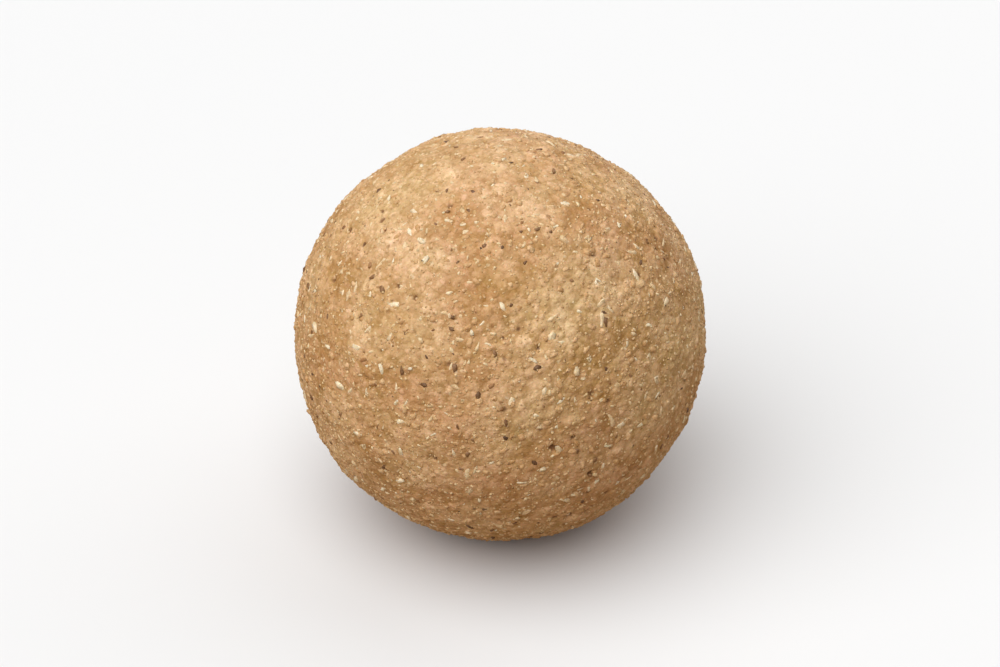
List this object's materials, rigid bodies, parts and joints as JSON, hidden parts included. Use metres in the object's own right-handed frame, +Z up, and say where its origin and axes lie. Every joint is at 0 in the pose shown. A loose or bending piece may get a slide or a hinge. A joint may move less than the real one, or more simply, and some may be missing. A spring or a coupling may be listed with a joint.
{
  "type": "sesame ladoo",
  "caption": "Hand-rolled sweet ball of ground sesame and jaggery, with a granular matt skin and a small flat spot to rest on.",
  "frame": {"origin": "middle of the small flat spot that the ball rests on, under the centre of its bounding box", "axes": "+Z up out of the surface it rests on; -Y is the side that faces the camera in the picture; +X to the right"},
  "size_m": [0.04, 0.0402, 0.0391],
  "materials": {
    "ground_sesame": "matt granular food mass: tan ground sesame and jaggery with cream seed fragments and fine brown specks"
  },
  "bodies": {
    "root": {"ladoo": "ground_sesame"}
  },
  "joints": []
}
